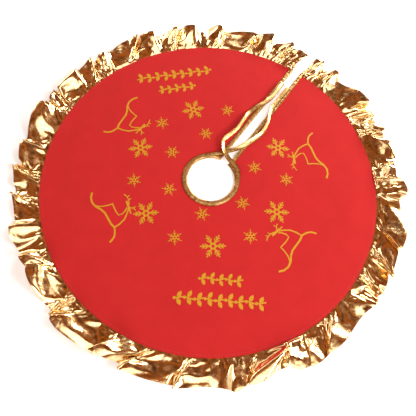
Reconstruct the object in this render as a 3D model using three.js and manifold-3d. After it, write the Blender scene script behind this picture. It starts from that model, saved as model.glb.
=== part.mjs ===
// A round fabric tree skirt: a red panel with a neck hole and a slit, a backing,
// a gathered foil ruffle round the rim, foil tapes round the neck and along the
// slit, two tie tapes, and foil motifs pressed on the panel.
// Millimetres, +Z up, origin at the neck hole's centre on the floor, slit along +Y.
import * as THREE from "three";
import { mergeVertices } from "three/addons/utils/BufferGeometryUtils.js";
import Module from "manifold-3d";

const wasm = await Module();
wasm.setup();

// ---------------------------------------------------------------- dimensions

const OVERALL_RADIUS = 450; // to the ruffle's hem
const PANEL_RADIUS = 395;
const NECK_RADIUS = 56; // clear opening round the trunk
const SLIT_HALF = 10.5; // half the gap between the two slit edges
const TAPE_WIDTH = 13; // seen width of the folded edge tape
const TIE_WIDTH = 11;

const GAP = 0.3; // air kept between pieces that touch
const BACKING_THICKNESS = 0.8;
const PANEL_THICKNESS = 1.0;
const TAPE_THICKNESS = 0.8;
const TIE_THICKNESS = 0.6;
const FOIL_THICKNESS = 0.3;

const RUFFLE_HEIGHT = 18; // how high the pleats stand
const RUFFLE_HEADER = 12; // gathered edge hidden under the panel
const RUFFLE_STRIPS = 4; // strips on the part that stays down

// Each side of the slit folds back on a line that starts at its edge.
const FOLD_START = 112; // distance from the neck's centre, past the knot
const FOLD_ANGLE = THREE.MathUtils.degToRad(24); // between the fold line and the slit

const SEGMENTS = 96; // facets in a full circle
const MOTIF_SEGMENTS = 4;
const FAR = 2 * OVERALL_RADIUS;

// The stack, from the floor up.
const PANEL_Z = BACKING_THICKNESS + GAP;
const TAPE_LEG_Z = PANEL_Z + PANEL_THICKNESS + GAP;
const FOIL_Z = TAPE_LEG_Z;
const TAPE_TOP = TAPE_LEG_Z + TAPE_THICKNESS;
const UNDER_TIE_Z = TAPE_TOP + GAP;
const OVER_TIE_Z = UNDER_TIE_Z + TIE_THICKNESS + GAP;

// The print: rings of motifs about a centre a little off the neck's.
const PRINT_CENTRE = new THREE.Vector2(-10, 13);
const MIDDLE_RING = { radius: 181, first: 112, last: 419, count: 12 };
const INNER_RING = { radius: 107, first: 132, last: 404, count: 6 };
const DEER_RADIUS = 259;
const GARLAND_RADIUS = 279;
const DEER_ANGLES = [46, 180, 240, 350]; // degrees about the print's centre
const GARLAND_ANGLES = [145, 310];
const DEER_LEAN = 43; // degrees between a deer's ground line and the ring
const GARLAND_LEAN = 82;
const LARGE_FLAKE = 29; // tip radius
const SMALL_FLAKE = 17.5;

// ----------------------------------------------------------------- materials

const foilMaterial = (color, roughness) =>
  new THREE.MeshStandardMaterial({ color, roughness, metalness: 1 });
const PANEL_RED = new THREE.MeshStandardMaterial({ color: 0xd22f2e, roughness: 0.9 });
const BACKING_RED = new THREE.MeshStandardMaterial({ color: 0x9c2422, roughness: 0.95 });
const RUFFLE_GOLD = foilMaterial(0xd4a537, 0.3);
const TAPE_GOLD = foilMaterial(0xe6cf86, 0.4);
const PRINT_GOLD = foilMaterial(0xc9962f, 0.45);

const skirt = new THREE.Group();

function addMesh(name, geometry, material) {
  const mesh = new THREE.Mesh(geometry, material);
  mesh.name = name;
  skirt.add(mesh);
}

// ------------------------------------------------------------ solids and cuts

function toSolid(geometry) {
  const bare = geometry.clone();
  bare.deleteAttribute("normal");
  bare.deleteAttribute("uv");
  const merged = mergeVertices(bare, 1e-4);
  return new wasm.Manifold(
    new wasm.Mesh({
      numProp: 3,
      vertProperties: new Float32Array(merged.attributes.position.array),
      triVerts: new Uint32Array(merged.index.array),
    }),
  );
}

function toGeometry(solid) {
  const mesh = solid.getMesh();
  const geometry = new THREE.BufferGeometry();
  geometry.setAttribute("position", new THREE.BufferAttribute(mesh.vertProperties, 3));
  geometry.setIndex(new THREE.BufferAttribute(mesh.triVerts, 1));
  geometry.computeVertexNormals();
  return geometry;
}

const joinAll = (solids) => solids.reduce((whole, piece) => whole.add(piece));

// A flat shape given thickness, standing on height z.
function slab(shape, z, thickness, curveSegments = SEGMENTS) {
  const options = { depth: thickness, bevelEnabled: false, curveSegments };
  return toSolid(new THREE.ExtrudeGeometry(shape, options).translate(0, 0, z));
}

function ringShape(inner, outer) {
  const shape = new THREE.Shape().absarc(0, 0, outer, 0, 2 * Math.PI);
  shape.holes.push(new THREE.Path().absarc(0, 0, inner, 0, 2 * Math.PI));
  return shape;
}

// A cutter as tall as the whole skirt, from an outline in plan.
const tallSlab = (points) => slab(new THREE.Shape(points), -FAR, 2 * FAR);

const slitCutter = (halfWidth) =>
  tallSlab([
    new THREE.Vector2(-halfWidth, 0),
    new THREE.Vector2(halfWidth, 0),
    new THREE.Vector2(halfWidth, FAR),
    new THREE.Vector2(-halfWidth, FAR),
  ]);

// A solid turned round +Z from a closed profile of [radius, height] points.
function turned(profile) {
  const points = [...profile, profile[0]].map(([r, z]) => new THREE.Vector2(r, z));
  return toSolid(new THREE.LatheGeometry(points, SEGMENTS).rotateX(Math.PI / 2));
}

// ------------------------------------------------------- regions of the skirt

// The ground of one flap: from the slit out to its fold line, grown by `grow`.
// side is -1 for the flap at -X and +1 for the one at +X.
function flapRegion(side, grow) {
  const foot = SLIT_HALF + grow / Math.cos(FOLD_ANGLE);
  const reach = foot + FAR * Math.tan(FOLD_ANGLE);
  return tallSlab([
    new THREE.Vector2(0, FOLD_START - grow),
    new THREE.Vector2(side * foot, FOLD_START - grow),
    new THREE.Vector2(side * reach, FOLD_START - grow + FAR),
    new THREE.Vector2(0, FOLD_START - grow + FAR),
  ]);
}

const SIDES = { left: -1, right: 1 };
const flapCut = {};
const flapKeep = {};
for (const [name, side] of Object.entries(SIDES)) {
  flapCut[name] = flapRegion(side, GAP / 2);
  flapKeep[name] = flapRegion(side, -GAP / 2);
}
const bothFlaps = flapCut.left.add(flapCut.right);

// Splits one layer into the part that stays down and the two flaps.
function addLayer(solid, name, material) {
  addMesh(`${name}_main`, toGeometry(solid.subtract(bothFlaps)), material);
  for (const side of Object.keys(SIDES)) {
    addMesh(`${name}_flap_${side}`, toGeometry(solid.intersect(flapKeep[side])), material);
  }
}

// -------------------------------------------------------- panel and backing

const panelNeck = NECK_RADIUS + TAPE_THICKNESS + GAP;
const panelSlitEdge = SLIT_HALF + TAPE_THICKNESS + GAP;
const panel = slab(ringShape(panelNeck, PANEL_RADIUS), PANEL_Z, PANEL_THICKNESS);
addLayer(panel.subtract(slitCutter(panelSlitEdge)), "panel", PANEL_RED);

const backingNeck = NECK_RADIUS + TAPE_WIDTH + GAP;
const backingSlitEdge = SLIT_HALF + TAPE_WIDTH + GAP;
const ruffleInner = PANEL_RADIUS - RUFFLE_HEADER;
const backing = slab(ringShape(backingNeck, ruffleInner - GAP), 0, BACKING_THICKNESS);
addLayer(backing.subtract(slitCutter(backingSlitEdge)), "backing", BACKING_RED);

// -------------------------------------------------------------------- ruffle

// The gathered edge lies flat under the panel, and the pleats stand outside it.
const pleatRoot = PANEL_RADIUS + 2 * GAP;
const ruffle = turned([
  [ruffleInner, 0],
  [OVERALL_RADIUS, 0],
  [OVERALL_RADIUS, 0.6 * RUFFLE_HEIGHT],
  [OVERALL_RADIUS - 9, RUFFLE_HEIGHT],
  [pleatRoot + 24, RUFFLE_HEIGHT],
  [pleatRoot + 6, 0.7 * RUFFLE_HEIGHT],
  [pleatRoot, 0.25 * RUFFLE_HEIGHT],
  [pleatRoot, BACKING_THICKNESS],
  [ruffleInner, BACKING_THICKNESS],
]).subtract(slitCutter(SLIT_HALF));

// A sector of the floor between two angles, less than half a turn apart.
function sector(from, to) {
  const middle = (from + to) / 2;
  const rim = [from, middle, to].map(
    (angle) => new THREE.Vector2(FAR * Math.cos(angle), FAR * Math.sin(angle)),
  );
  return tallSlab([new THREE.Vector2(0, 0), ...rim]);
}

for (const side of Object.keys(SIDES)) {
  addMesh(`ruffle_flap_${side}`, toGeometry(ruffle.intersect(flapKeep[side])), RUFFLE_GOLD);
}
const seamGap = GAP / ruffleInner;
const stripTurn = (2 * Math.PI) / RUFFLE_STRIPS;
const ruffleMain = ruffle.subtract(bothFlaps);
for (let strip = 0; strip < RUFFLE_STRIPS; strip += 1) {
  const start = Math.PI / 2 + strip * stripTurn;
  const piece = ruffleMain.intersect(sector(start + seamGap / 2, start + stripTurn - seamGap / 2));
  addMesh(`ruffle_strip_${strip + 1}`, toGeometry(piece), RUFFLE_GOLD);
}

// ---------------------------------------------------------------- edge tapes

// Both tapes are folded over the panel's edge: a wall and two legs.
const neckOuter = NECK_RADIUS + TAPE_WIDTH;
const neckWall = NECK_RADIUS + TAPE_THICKNESS;
const neckTape = turned([
  [NECK_RADIUS, 0],
  [neckOuter, 0],
  [neckOuter, BACKING_THICKNESS],
  [neckWall, BACKING_THICKNESS],
  [neckWall, TAPE_LEG_Z],
  [neckOuter, TAPE_LEG_Z],
  [neckOuter, TAPE_TOP],
  [NECK_RADIUS, TAPE_TOP],
]);
addMesh("neck_tape", toGeometry(neckTape.subtract(slitCutter(SLIT_HALF))), TAPE_GOLD);

// The folded section of one slit tape, extruded along the slit.
function slitTape(side) {
  const outer = SLIT_HALF + TAPE_WIDTH;
  const wall = SLIT_HALF + TAPE_THICKNESS;
  const section = [
    [SLIT_HALF, 0],
    [outer, 0],
    [outer, BACKING_THICKNESS],
    [wall, BACKING_THICKNESS],
    [wall, TAPE_LEG_Z],
    [outer, TAPE_LEG_Z],
    [outer, TAPE_TOP],
    [SLIT_HALF, TAPE_TOP],
  ].map(([x, z]) => new THREE.Vector2(x, z));
  const options = { depth: PANEL_RADIUS, bevelEnabled: false };
  const along = new THREE.ExtrudeGeometry(new THREE.Shape(section), options);
  // The section stands in the XZ plane and runs from the neck to the rim.
  const bar = toSolid(along.rotateX(Math.PI / 2).translate(0, PANEL_RADIUS, 0));
  const placed = side > 0 ? bar : bar.mirror([1, 0, 0]);
  const neckRoom = slab(new THREE.Shape().absarc(0, 0, neckOuter + GAP, 0, 2 * Math.PI), -1, FAR);
  const headerRoom = slab(ringShape(ruffleInner - GAP, FAR), -1, 1 + BACKING_THICKNESS + GAP);
  const rimRoom = slab(ringShape(PANEL_RADIUS, FAR), -1, FAR);
  return placed.subtract(neckRoom).subtract(headerRoom).subtract(rimRoom);
}

for (const [name, side] of Object.entries(SIDES)) {
  const tape = slitTape(side);
  addMesh(`slit_tape_${name}_neck_end`, toGeometry(tape.subtract(bothFlaps)), TAPE_GOLD);
  addMesh(`slit_tape_${name}`, toGeometry(tape.intersect(flapKeep[name])), TAPE_GOLD);
}

// ---------------------------------------------------------------- tie tapes

const toVectors = (points) => points.map(([x, y]) => new THREE.Vector2(x, y));

// A flat ribbon of one width along a smooth curve through the points.
function ribbonShape(points, width, steps) {
  const curve = new THREE.SplineCurve(toVectors(points));
  const sides = [[], []];
  for (let step = 0; step <= steps; step += 1) {
    const centre = curve.getPoint(step / steps);
    const tangent = curve.getTangent(step / steps);
    const normal = new THREE.Vector2(-tangent.y, tangent.x).multiplyScalar(width / 2);
    sides[0].push(centre.clone().add(normal));
    sides[1].unshift(centre.clone().sub(normal));
  }
  return new THREE.Shape([...sides[0], ...sides[1]]);
}

// Each tie runs on from one end of the neck tape, crosses the slit, and lies
// along the far flap. The right flap's tie passes under the left flap's. Where
// a tie goes on to its flap it is cut, so that its tail can move with the flap.
const TIES = {
  right: {
    z: UNDER_TIE_Z,
    route: [
      [-46, 42], [-31, 58], [-17, 74], [2, 100], [10, 114], [18, 132],
      [25, 156], [29, 180], [23, 212], [14, 236], [9.5, 262], [9.5, 335],
    ],
  },
  left: {
    z: OVER_TIE_Z,
    route: [
      [53, 37], [33, 59], [4, 68], [-15, 79], [-26, 87], [-34, 98], [-35, 110],
      [-30, 132], [-27, 155], [-29, 182], [-28, 210], [-24, 234], [-14, 258],
      [-9.5, 280], [-9.5, 340],
    ],
  },
};

for (const [name, tie] of Object.entries(TIES)) {
  const tape = slab(ribbonShape(tie.route, TIE_WIDTH, 60), tie.z, TIE_THICKNESS);
  addMesh(`tie_${name}_neck_end`, toGeometry(tape.subtract(bothFlaps)), TAPE_GOLD);
  addMesh(`tie_${name}_tail`, toGeometry(tape.intersect(flapKeep[name])), TAPE_GOLD);
}

// --------------------------------------------------------------- foil motifs

// Puts a motif drawn about (0, 0) at a polar place about the print's centre.
function placeMotif(name, solid, radius, degrees, turn) {
  const angle = THREE.MathUtils.degToRad(degrees);
  const placed = solid
    .rotate([0, 0, turn])
    .translate([
      PRINT_CENTRE.x + radius * Math.cos(angle),
      PRINT_CENTRE.y + radius * Math.sin(angle),
      0,
    ]);
  addMesh(name, toGeometry(placed), PRINT_GOLD);
}

// The motifs are small, so their round parts need few facets.
const foilSlab = (shape) => slab(shape, FOIL_Z, FOIL_THICKNESS, MOTIF_SEGMENTS);
const stroke = (points, width, steps) => foilSlab(ribbonShape(points, width, steps));
const disc = (x, y, radius) => foilSlab(new THREE.Shape().absarc(x, y, radius, 0, 2 * Math.PI));

// One half of a flake's arm, pointing along +Y, from the heart out to the tip.
function halfArm(tipRadius, twigs) {
  const halfBar = 0.05 * tipRadius;
  const twigWidth = 0.09 * tipRadius;
  const [rise, run] = [0.8, 0.6]; // the twigs' slope
  const points = [];
  for (let twig = 0; twig < twigs; twig += 1) {
    const root = tipRadius * (0.34 + (0.5 * twig) / twigs);
    const length = tipRadius * (0.32 - 0.07 * twig);
    const low = new THREE.Vector2(halfBar + run * length, root + rise * length);
    const high = new THREE.Vector2(low.x - rise * twigWidth, low.y + run * twigWidth);
    const back = high.y - (rise / run) * (high.x - halfBar);
    points.push(new THREE.Vector2(halfBar, root), low, high, new THREE.Vector2(halfBar, back));
  }
  return [...points, new THREE.Vector2(halfBar, tipRadius)];
}

// A six-armed flake with pairs of slanted twigs and a pierced heart.
function flake(tipRadius, twigs) {
  const centre = new THREE.Vector2(0, 0);
  const right = halfArm(tipRadius, twigs);
  const left = right.map(({ x, y }) => new THREE.Vector2(-x, y)).reverse();
  const notch = new THREE.Vector2(0, 0.24 * tipRadius).rotateAround(centre, -Math.PI / 6);
  const outline = [];
  const heart = [];
  for (let arm = 0; arm < 6; arm += 1) {
    const turn = (arm * Math.PI) / 3;
    for (const point of [notch, ...right, ...left]) {
      outline.push(point.clone().rotateAround(centre, turn));
    }
    heart.push(new THREE.Vector2(0, 0.13 * tipRadius).rotateAround(centre, turn));
  }
  const shape = new THREE.Shape(outline);
  shape.holes.push(new THREE.Path(heart));
  return foilSlab(shape);
}

const largeFlake = flake(LARGE_FLAKE, 2);
const smallFlake = flake(SMALL_FLAKE, 1);

function addRing(ring, name, choose) {
  const pitch = (ring.last - ring.first) / (ring.count - 1);
  for (let index = 0; index < ring.count; index += 1) {
    const degrees = ring.first + index * pitch;
    placeMotif(`${name}_${index + 1}`, choose(index), ring.radius, degrees, degrees);
  }
}
addRing(MIDDLE_RING, "snowflake_middle", (index) => (index % 2 ? largeFlake : smallFlake));
addRing(INNER_RING, "snowflake_inner", () => smallFlake);

// A leaping deer in a few long strokes, facing -X.
function deer() {
  const strokes = [
    [[[-33, 40], [-20, 43], [2, 44], [24, 33]], 3.5], // back
    [[[22, 32], [34, 40], [46, 43], [58, 40]], 4], // stretched hind leg
    [[[-30, 37], [-16, 36], [-6, 28], [-15, 14], [-25, 3]], 3], // chest and knee
    [[[-25, 4], [-14, -8], [-6, -22], [-5, -34]], 3], // shin
    [[[24, 34], [17, 18], [4, 2], [-2, -14], [-4, -32], [-14, -46], [-30, -52]], 4.5], // belly and legs
    [[[-44, 29], [-36, 36], [-27, 46]], 5], // head
    [[[-36, 38], [-46, 34], [-54, 24], [-56, 16]], 2.5], // forward antler
    [[[-32, 42], [-34, 50], [-32, 58]], 2.5], // rear antler
    [[[-30, 40], [-24, 48], [-20, 52]], 3], // ear
    [[[-48, 33], [-54, 35]], 2],
    [[[-52, 27], [-59, 28]], 2],
    [[[-34, 49], [-40, 54]], 2],
  ];
  return joinAll(strokes.map(([points, width]) => stroke(points, width, points.length + 1)));
}

const deerSolid = deer();
DEER_ANGLES.forEach((degrees, index) => {
  placeMotif(`deer_${index + 1}`, deerSolid, DEER_RADIUS, degrees, degrees + DEER_LEAN);
});

// A leaf with a point at each end, from (x, y), leaning at an angle.
function leaf(x, y, length, width, degrees) {
  const shape = new THREE.Shape();
  shape.moveTo(0, 0);
  shape.quadraticCurveTo(length / 2, width, length, 0);
  shape.quadraticCurveTo(length / 2, -width, 0, 0);
  return foilSlab(shape).rotate([0, 0, degrees]).translate([x, y, 0]);
}

// A row of leaves and berries on a waving stem, centred on (0, y).
function garlandRow(length, leafLength, sprigs, y) {
  const pitch = length / sprigs;
  const wave = (x) => y + 2.5 * Math.sin((2 * Math.PI * x) / (2 * pitch));
  const stem = [];
  for (let x = -length / 2; x <= length / 2 + 0.1; x += pitch / 4) stem.push([x, wave(x)]);
  const pieces = [stroke(stem, 3, 2 * sprigs)];
  for (let sprig = 0; sprig < sprigs; sprig += 1) {
    const x = -length / 2 + (sprig + 0.35) * pitch;
    pieces.push(leaf(x, wave(x), leafLength, 0.55 * leafLength, 62));
    pieces.push(leaf(x, wave(x), leafLength, 0.55 * leafLength, -62));
    pieces.push(disc(x - 0.28 * pitch, wave(x), 0.2 * leafLength));
  }
  return joinAll(pieces);
}

const upperRow = garlandRow(96, 15, 5, 24);
const lowerRow = garlandRow(196, 17, 9, -20);
GARLAND_ANGLES.forEach((degrees, index) => {
  const turn = degrees + GARLAND_LEAN;
  placeMotif(`garland_${index + 1}_upper`, upperRow, GARLAND_RADIUS, degrees, turn);
  placeMotif(`garland_${index + 1}_lower`, lowerRow, GARLAND_RADIUS, degrees, turn);
});

export default skirt;
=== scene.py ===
"""Looks of a round tree skirt: red felt panel with a lining, a gathered gold foil
ruffle, folded gold tapes round the neck and the slit, two ribbon ties and a foil print."""

import logging
import math
from collections.abc import Sequence
from dataclasses import dataclass, field
from enum import Enum

import bmesh
import bpy
import numpy as np
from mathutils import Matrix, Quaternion, Vector, noise


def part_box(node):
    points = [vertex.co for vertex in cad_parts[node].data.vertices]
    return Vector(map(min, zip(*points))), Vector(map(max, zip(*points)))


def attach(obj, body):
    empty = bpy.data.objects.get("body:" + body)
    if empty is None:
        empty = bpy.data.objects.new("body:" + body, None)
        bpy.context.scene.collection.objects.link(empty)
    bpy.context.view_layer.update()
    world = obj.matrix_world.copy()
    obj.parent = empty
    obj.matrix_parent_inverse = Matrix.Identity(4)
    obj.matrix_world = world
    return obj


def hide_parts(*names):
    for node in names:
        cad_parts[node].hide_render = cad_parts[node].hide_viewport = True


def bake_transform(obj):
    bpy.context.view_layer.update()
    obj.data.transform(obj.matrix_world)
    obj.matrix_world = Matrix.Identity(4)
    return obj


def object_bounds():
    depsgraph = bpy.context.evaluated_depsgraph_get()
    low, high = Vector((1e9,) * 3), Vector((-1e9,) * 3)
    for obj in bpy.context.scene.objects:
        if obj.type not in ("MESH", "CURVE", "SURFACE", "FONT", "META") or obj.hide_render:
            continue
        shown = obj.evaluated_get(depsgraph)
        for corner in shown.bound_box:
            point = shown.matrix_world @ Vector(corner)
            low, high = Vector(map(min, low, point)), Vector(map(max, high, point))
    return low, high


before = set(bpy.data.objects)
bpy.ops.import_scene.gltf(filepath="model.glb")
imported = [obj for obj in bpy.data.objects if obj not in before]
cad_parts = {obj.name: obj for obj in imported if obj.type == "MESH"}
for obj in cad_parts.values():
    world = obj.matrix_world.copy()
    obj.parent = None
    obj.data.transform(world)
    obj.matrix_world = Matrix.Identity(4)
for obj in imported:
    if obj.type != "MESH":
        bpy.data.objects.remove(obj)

log = logging.getLogger("tree_skirt")

MM = 0.001  # metres in a millimetre
Points = np.ndarray  # points in rows of x, y and z, or one number for each point


class Side(Enum):
    """The two sides of the slit, by the sign of their X."""

    LEFT = -1
    RIGHT = 1

    @property
    def word(self) -> str:
        """The side's name, as in the flap bodies' names."""
        return self.name.lower()


# ---- small helpers


def linear(code: str) -> tuple[float, float, float, float]:
    """Turns an sRGB hex colour into linear RGBA.

    Args:
        code: Six hex digits with a leading #.

    Returns:
        Linear red, green and blue from 0 to 1, and an alpha of 1.
    """
    parts = [int(code[i : i + 2], 16) / 255 for i in (1, 3, 5)]
    lin = [c / 12.92 if c <= 0.04045 else ((c + 0.055) / 1.055) ** 2.4 for c in parts]
    return (lin[0], lin[1], lin[2], 1.0)


def per_mm(size: float) -> float:
    """The texture scale on Object coordinates whose features are that many mm across."""
    return 1.0 / (size * MM)


def add_node(tree: bpy.types.NodeTree, kind: str, links: dict | None = None,
             **settings) -> bpy.types.Node:
    """Adds one node, sets its properties, and fills or links its inputs.

    Args:
        tree: The node tree that gets the node.
        kind: The node's type name.
        links: Input name or number to a socket or a node's first output, or to a plain value.
        **settings: The node's own properties.

    Returns:
        The new node.
    """
    node = tree.nodes.new(kind)
    for name, value in settings.items():
        setattr(node, name, value)
    for key, value in (links or {}).items():
        if isinstance(value, bpy.types.Node):
            value = value.outputs[0]
        if isinstance(value, bpy.types.NodeSocket):
            tree.links.new(value, node.inputs[key])
        else:
            node.inputs[key].default_value = value
    return node


def smooth(low: float, high: float, x: Points) -> Points:
    """A smooth step from 0 at low to 1 at high."""
    t = np.clip((x - low) / (high - low), 0.0, 1.0)
    return t * t * (3 - 2 * t)


def distance_run(line: Points) -> Points:
    """How far along a line of points each one lies, in metres."""
    return np.concatenate([[0], np.cumsum(np.linalg.norm(np.diff(line, axis=0), axis=1))])


def perlin(points: Points, size: float, seed: float) -> Points:
    """Perlin noise at each point.

    Args:
        points: Points in metres, in rows of three, or distances along a line.
        size: The size of a lump in metres.
        seed: A fixed shift that picks the pattern.

    Returns:
        One value from about -1 to 1 for each point.
    """
    if points.ndim == 1:
        points = np.column_stack([points, points * 0, points * 0])
    return np.array([noise.noise(Vector(p)) for p in (points / size + seed).tolist()])


def put_in_scene(name: str, data: bpy.types.ID) -> bpy.types.Object:
    """Makes an object of a mesh, a light or a camera and links it into the scene."""
    thing = bpy.data.objects.new(name, data)
    bpy.context.scene.collection.objects.link(thing)
    return thing


def grid_faces(rows: int, columns: int, first: int = 0, loop: bool = False) -> list[tuple[int, ...]]:
    """Quads of a grid of vertices that is stored row by row.

    Args:
        rows: The number of rows.
        columns: The number of columns.
        first: The index of the grid's first vertex.
        loop: Whether the last column joins the first.

    Returns:
        The quads' vertex indices.
    """
    spans = columns if loop else columns - 1
    faces = []
    for r in range(rows - 1):
        a, b = first + r * columns, first + (r + 1) * columns
        faces += [(a + c, a + (c + 1) % columns, b + (c + 1) % columns, b + c) for c in range(spans)]
    return faces


def new_piece(name: str, verts: Points, faces: list, crease: float,
              uv: Points | None = None) -> bpy.types.Object:
    """Makes a smooth-shaded mesh object at the origin with its normals outwards.

    Args:
        name: The piece's name.
        verts: Its vertices in metres.
        faces: Its faces, closed.
        crease: The angle in degrees past which an edge stays sharp.
        uv: Two UV values for each vertex, or None.

    Returns:
        The object, linked into the scene.
    """
    mesh = bpy.data.meshes.new(name)
    mesh.from_pydata(np.asarray(verts, float).tolist(), [], faces)
    if uv is not None:
        corners = np.empty(len(mesh.loops), np.int32)
        mesh.loops.foreach_get("vertex_index", corners)
        mesh.uv_layers.new(name="along").data.foreach_set("uv", np.asarray(uv, np.float32)[corners].ravel())
    shape = bmesh.new()
    shape.from_mesh(mesh)
    bmesh.ops.recalc_face_normals(shape, faces=shape.faces)
    shape.to_mesh(mesh)
    shape.free()
    mesh.shade_smooth()
    mesh.set_sharp_from_angle(angle=math.radians(crease))
    return put_in_scene(name, mesh)


def shell(name: str, top: Points, under: Points, crease: float = 40.0,
          uv: Points | None = None) -> bpy.types.Object:
    """Makes a closed thin sheet from two grids of the same size.

    Args:
        name: The piece's name.
        top: The upper surface, rows by columns by three.
        under: The lower surface.
        crease: The angle in degrees past which an edge stays sharp.
        uv: Two UV values for each point of one grid, or None.

    Returns:
        The sheet's object.
    """
    rows, columns = top.shape[:2]
    count = rows * columns
    verts = np.concatenate([top.reshape(-1, 3), under.reshape(-1, 3)])
    faces = grid_faces(rows, columns) + [f[::-1] for f in grid_faces(rows, columns, count)]
    border = (
        [c for c in range(columns)]
        + [r * columns + columns - 1 for r in range(1, rows)]
        + [(rows - 1) * columns + c for c in range(columns - 2, -1, -1)]
        + [r * columns for r in range(rows - 2, 0, -1)]
    )
    for a, b in zip(border, border[1:] + border[:1]):
        faces.append((b, a, a + count, b + count))
    return new_piece(name, verts, faces, crease, None if uv is None else np.tile(uv.reshape(-1, 2), (2, 1)))


def grid_normals(grid: Points) -> Points:
    """Unit normals of a grid of points, turned so that they mostly point up.

    Args:
        grid: Points, rows by columns by three.

    Returns:
        One normal for each point, in the same layout.
    """
    normal = np.cross(np.gradient(grid, axis=1), np.gradient(grid, axis=0))
    normal /= np.linalg.norm(normal, axis=2, keepdims=True) + 1e-12
    return normal if normal[..., 2].mean() > 0 else -normal


def spline_through(points: Points, count: int) -> Points:
    """Evenly spaced points on a Catmull-Rom curve through the given ones.

    Args:
        points: The points to pass through, in rows of any width.
        count: How many points to give back.

    Returns:
        The curve's points, evenly spaced over the first three columns.
    """
    padded = np.concatenate([[2 * points[0] - points[1]], points, [2 * points[-1] - points[-2]]])
    fine = []
    for i in range(len(points) - 1):
        p0, p1, p2, p3 = padded[i : i + 4]
        t = np.linspace(0, 1, 24, endpoint=False)[:, None]
        fine.append(0.5 * (2 * p1 + (p2 - p0) * t + (2 * p0 - 5 * p1 + 4 * p2 - p3) * t**2
                           + (3 * p1 - p0 - 3 * p2 + p3) * t**3))
    fine = np.concatenate([*fine, points[-1:]])
    run = distance_run(fine[:, :3])
    even = np.linspace(0, run[-1], count)
    return np.stack([np.interp(even, run, fine[:, k]) for k in range(fine.shape[1])], axis=1)


def dress(piece: bpy.types.Object, finish: bpy.types.Material) -> bpy.types.Object:
    """Gives a piece its material."""
    piece.data.materials.clear()
    piece.data.materials.append(finish)
    return piece


# ---- finishes


class Finish:
    """What every finish shares: how its node material starts and ends."""

    name: str

    def begin(self) -> tuple[bpy.types.Material, bpy.types.NodeTree, bpy.types.NodeSocket]:
        """Starts the material.

        Returns:
            The material, its cleared node tree, and its Object coordinates.
        """
        material = bpy.data.materials.new(self.name)
        material.use_nodes = True
        material.node_tree.nodes.clear()
        place = add_node(material.node_tree, "ShaderNodeTexCoord")
        return material, material.node_tree, place.outputs["Object"]

    def end(self, tree: bpy.types.NodeTree, inputs: dict) -> None:
        """Closes the material with a Principled shader that has those inputs."""
        shader = add_node(tree, "ShaderNodeBsdfPrincipled", inputs)
        add_node(tree, "ShaderNodeOutputMaterial", {"Surface": shader})


@dataclass(frozen=True)
class NeedledFelt(Finish):
    """Needle-punched polyester felt: matte, soft at grazing angles, with matted fibres."""

    name: str
    colour: str
    shade: str
    fibre: float = 1.1  # mm; real fibres are 0.02 mm, drawn as the tufts that show
    cloud: float = 38.0  # mm; how wide the faint uneven patches are
    nap: float = 0.25  # mm the tufts stand up

    def material(self) -> bpy.types.Material:
        """Builds the felt's material."""
        material, tree, place = self.begin()
        tufts = add_node(tree, "ShaderNodeTexNoise", {
            "Vector": place, "Scale": per_mm(self.fibre * 2), "Detail": 5.0, "Roughness": 0.65})
        combed = add_node(tree, "ShaderNodeMapping", {
            "Vector": place, "Rotation": (0, 0, 0.6), "Scale": (1.0, 0.22, 1.0)})
        strands = add_node(tree, "ShaderNodeTexNoise", {
            "Vector": combed, "Distortion": 1.2, "Scale": per_mm(self.fibre * 1.5), "Detail": 4.0})
        patches = add_node(tree, "ShaderNodeTexNoise", {
            "Vector": place, "Scale": per_mm(self.cloud), "Detail": 3.0})
        matted = add_node(tree, "ShaderNodeMath", {0: tufts, 1: strands}, operation="ADD")
        tone = add_node(tree, "ShaderNodeMath", {0: matted, 1: patches}, operation="ADD")
        share = add_node(tree, "ShaderNodeMapRange", {"Value": tone, "From Min": 1.05, "From Max": 1.95})
        colour = add_node(tree, "ShaderNodeMix", {
            "Factor": share, 6: linear(self.shade), 7: linear(self.colour)}, data_type="RGBA")
        rough = add_node(tree, "ShaderNodeMapRange", {"Value": tufts, "To Min": 0.78, "To Max": 0.95})
        bump = add_node(tree, "ShaderNodeBump", {
            "Height": matted, "Strength": 0.35, "Distance": self.nap * MM})
        self.end(tree, {
            "Base Color": colour.outputs[2], "Roughness": rough, "Sheen Weight": 0.03,
            "Sheen Roughness": 0.6, "Sheen Tint": linear("#FF9A90"), "Specular IOR Level": 0.1,
            "Normal": bump})
        return material


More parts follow.
